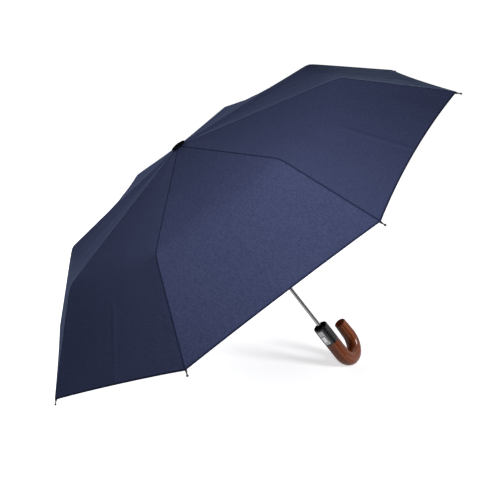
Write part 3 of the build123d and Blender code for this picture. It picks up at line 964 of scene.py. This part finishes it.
def rod_axis(number):
    """Elbow, foot, direction and length of an outer rib's rod, from its end in the frame."""
    outwards = rib_direction(number - 1)
    pivot = outwards * elbow[0] + Vector((0, 0, elbow[1]))
    vertices = frame["nodes"][f"outer_rib_{number}"].data.vertices
    longest = max((v.co - pivot).length for v in vertices)
    last = [v.co - pivot for v in vertices if (v.co - pivot).length > longest - 0.0002]
    reach = sum(last, Vector()) / len(last)
    length = math.sqrt(reach.length_squared - ROD_RISE**2)
    fall = math.atan2(reach.z, reach.dot(outwards)) - math.atan2(ROD_RISE, length)
    direction = outwards * math.cos(fall) + Vector((0, 0, math.sin(fall)))
    upwards = Vector((0, 0, math.cos(fall))) - outwards * math.sin(fall)
    return pivot, pivot + upwards * ROD_RISE, direction, length


for number in range(1, RIBS + 1):
    pivot, foot, direction, length = rod_axis(number)
    without_rod(bpy.data.objects[f"outer_rib_{number}_finished"], pivot, direction, FLAT_END)
    axes = [(foot, direction, rod_profile(length))]
    turned(f"rod_and_tip_{number}", rod_rule, axes, f"outer_rib_{number}", 20)
print("rods:", round(length, 4), "m long, from the elbow to the tip's end")

# %% Rivets
rivet_rule = turned_tree("rivet_rule", rib_steel)
# Half of what a rivet holds together: one channel, or a channel between two cheeks
CHEEK = 0.0016
STRADDLE = 0.0026


def rivet_profile(half):
    """Shank with a domed head on each side."""
    side = [(half, 0.0009), (half + 0.00004, 0.0014), (half + 0.00025, 0.0012)]
    side += [(half + 0.0004, 0.0008), (half + 0.00045, 0.0001)]
    return [(-place, radius) for place, radius in reversed(side)] + side


for number in range(1, RIBS + 1):
    outwards = rib_direction(number - 1)
    sideways = Vector((-outwards.y, outwards.x, 0))
    for link, pins in (
        ("top_rib", ((stretcher_hinge, STRADDLE), (knee, CHEEK))),
        ("middle_rib", ((elbow, CHEEK),)),
    ):
        axes = [
            (on_rib(number - 1, *place), sideways, rivet_profile(half)) for place, half in pins
        ]
        turned(f"{link}_rivets_{number}", rivet_rule, axes, f"{link}_{number}", 14)
print("rivets:", 3 * RIBS)

# %% [markdown]
# ## Floor, light and camera
#
# The umbrella lies on its side, on two of its tips and its crook, so in its own frame the
# floor is a tilted plane. The floor is pale, and a camera sees it and the backdrop as white,
# while the lamps stay plain. The floor shows only from above, so that the umbrella can be
# looked at from below.


# %% The floor under three points
def tip_point(number):
    """Lowest place of a rib's tip."""
    low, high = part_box(f"outer_rib_{number}")
    turn = rib_direction(number - 1)
    x = high.x if turn.x > 0 else low.x
    y = high.y if turn.y > 0 else low.y
    return Vector((x, y, low.z))


first, second = tip_point(3), tip_point(4)
inside_cover = Vector((0, 0, 0.3))
crook_centre = Vector((bend_radius, 0, bend_start))
level = Vector((0, 0, 1))
for _ in range(12):
    towards = Vector((level.x, 0, level.z)).normalized()
    third = crook_centre - towards * bend_radius - level * barrel_radius
    level = (second - first).cross(third - first).normalized()
    if level.dot(inside_cover - first) < 0:
        level = -level
print("floor's normal", level, "touches the crook at", third)


# %% A square board, for the floor and the cards
def board(name, half, centre, facing, material):
    """Square board with this half width and centre, facing this way."""
    turn = facing.to_track_quat("Z", "Y").to_matrix().to_4x4()
    mesh = bpy.data.meshes.new(name)
    corners = [(-half, -half, 0), (half, -half, 0), (half, half, 0), (-half, half, 0)]
    mesh.from_pydata(corners, [], [(0, 1, 2, 3)])
    mesh.transform(Matrix.Translation(centre) @ turn)
    mesh.materials.append(material)
    piece = bpy.data.objects.new(name, mesh)
    bpy.context.scene.collection.objects.link(piece)
    return piece


# %% Floor
def seen_by_camera(tree):
    """1 for rays that a camera, a mirror or a glass sends straight to the surface."""
    path = tree.add("ShaderNodeLightPath")
    node = path.socket.node
    camera, glossy, clear = (
        Value(tree, node.outputs[name])
        for name in ("Is Camera Ray", "Is Glossy Ray", "Is Transmission Ray")
    )
    return camera.math("MAXIMUM", glossy).math("MAXIMUM", clear)


HALF_FLOOR = 9.0
FLOOR_GAP = 0.0005
FLOOR_GLOW = 0.56
GLOW_FROM, GLOW_TO = 0.05, 0.55


def floor_material():
    """Pale floor that a camera sees as white, but glowing less near the crook: painted shade that greys the
    floor there and deepens the crook's shadows.
    """
    material, tree, shader = surface("pale_floor", Roughness=0.9, Specular_IOR_Level=0.1)
    shader.inputs["Base Color"].default_value = (0.80, 0.80, 0.80, 1)
    shader.inputs["Emission Strength"].default_value = 1.0
    place = tree.add("ShaderNodeTexCoord", {}, {}, "Object")
    centre = tuple(third)
    away = tree.add("ShaderNodeVectorMath", {"operation": "DISTANCE"}, {0: place, 1: centre}, 1)
    # Painted shade: the glow is weaker near where the crook touches, so the floor there is greyer and its
    # shadows show darker, while further off the glow washes shadows out to white.
    further = rise(tree, away, GLOW_FROM, GLOW_TO)
    lift = seen_by_camera(tree) * (FLOOR_GLOW + (1 - FLOOR_GLOW) * further)
    glow = mixed(tree, lift, (0.0, 0.0, 0.0), (1.0, 1.0, 1.0))
    feed(tree, shader, Emission_Color=glow)
    behind = tree.add("ShaderNodeNewGeometry", {}, {}, "Backfacing")
    clear = tree.add("ShaderNodeBsdfTransparent")
    lit = Value(tree, shader.outputs[0])
    both = tree.add("ShaderNodeMixShader", {}, {0: behind, 1: lit, 2: clear})
    out = material.node_tree.nodes["Material Output"]
    tree.nodes.links.new(both.socket, out.inputs["Surface"])
    return material


floor_centre = (first + second + third) / 3 - level * FLOOR_GAP
board("floor", HALF_FLOOR, floor_centre, level, floor_material())
print("floor laid through", floor_centre)

# %% Backdrop
AMBIENT = 0.055
world = bpy.data.worlds.new("studio")
bpy.context.scene.world = world
world.use_nodes = True
sky = Tree(world.node_tree)
background = world.node_tree.nodes["Background"]
strength = seen_by_camera(sky) * (1 - AMBIENT) + AMBIENT
sky.nodes.links.new(strength.socket, background.inputs["Strength"])
background.inputs["Color"].default_value = (1, 1, 1, 1)
print("backdrop's light on the umbrella:", AMBIENT)

# %% [markdown]
# Four soft lamps do the rest: the key lamp near the camera, one at the right, a faint one at
# the left, and one beyond the umbrella for its far gores. They light but don't mirror, because
# a lamp's image would burn a white stripe down the whole length of the shaft.

# %% Lamps
camera_right = Vector((0.3021, -0.7508, -0.5874)).normalized()
camera_back = Vector((-0.7643, -0.5591, 0.3216))
camera_back = (camera_back - camera_back.project(camera_right)).normalized()
camera_up = camera_back.cross(camera_right)
subject = Vector((0, 0, 0.36))


def beside_camera(right, up, back):
    """Offset given along the camera's own axes."""
    return camera_right * right + camera_up * up + camera_back * back


def lamp(name, right, up, back, size, power):
    """Square soft lamp at a place given along the camera's axes, aimed at the umbrella."""
    data = bpy.data.lights.new(name, "AREA")
    data.shape = "SQUARE"
    data.size = size
    data.energy = power
    light = bpy.data.objects.new(name, data)
    offset = beside_camera(right, up, back)
    light.location = subject + offset
    light.visible_camera = False
    light.visible_glossy = False
    light.rotation_mode = "QUATERNION"
    light.rotation_quaternion = offset.to_track_quat("Z", "Y")
    bpy.context.scene.collection.objects.link(light)


lamp("key", 0.0, 0.24, 0.80, 0.5, 4.5)
lamp("side", 1.05, -0.05, 0.28, 0.35, 9)
lamp("left", -1.4, 0.8, -0.2, 0.8, 1.5)
lamp("far", -0.9, 0.9, -1.2, 0.8, 20)

# %% [markdown]
# Chrome, varnish and black plastic look like themselves when something dark stands among the
# white. Only reflections see these cards: a dark one beyond the umbrella, two dark ones by the
# shaft, and a small bright one that makes the glint on the crook's bend.

# %% Cards for the gloss
card_black, _, card_shader = surface("card_black", Roughness=1.0, Specular_IOR_Level=0.0)
card_shader.inputs["Base Color"].default_value = (0.01, 0.01, 0.01, 1)
card_light, _, card_shader = surface("card_light", Roughness=1.0, Specular_IOR_Level=0.0)
card_shader.inputs["Emission Color"].default_value = (1, 1, 1, 1)
card_shader.inputs["Emission Strength"].default_value = 24.0
mirrored = Vector((-camera_back.x, -camera_back.y, camera_back.z))


def card(name, material, centre, aim, half):
    """Square card that only reflections see."""
    piece = board(name, half, centre, aim - centre, material)
    for ray in ("camera", "diffuse", "transmission", "shadow", "volume_scatter"):
        setattr(piece, f"visible_{ray}", False)


handle_middle = Vector((0, 0, 0.08))
card("back_card", card_black, subject + mirrored * 1.8, subject, 0.9)
card("shaft_card", card_black, Vector((-0.24, -0.18, 0.05)), handle_middle, 0.30)
card("tube_card", card_black, Vector((-0.19, 0.205, 0.235)), Vector((0, 0, 0.235)), 0.20)
card("glint_card", card_light, subject + beside_camera(1.02, 0.36, 0.28), handle_middle, 0.16)

# %% [markdown]
# The umbrella's own frame has the shaft upright, so the camera is what lies on its side. Its
# right, up and back directions are given in that frame. A long lens keeps the far gores from
# shrinking.

# %% Camera
lens = bpy.data.cameras.new("camera")
lens.sensor_width = 36
lens.lens = 68.8
camera = bpy.data.objects.new("camera", lens)
turn = Matrix((camera_right, camera_up, camera_back)).transposed().to_4x4()
camera.matrix_world = Matrix.Translation((-1.441, -1.034, 0.891)) @ turn
bpy.context.scene.collection.objects.link(camera)
bpy.context.scene.camera = camera
bpy.context.scene.view_settings.view_transform = "Standard"
print("camera:", round(lens.lens, 1), "mm at", camera.matrix_world.translation)
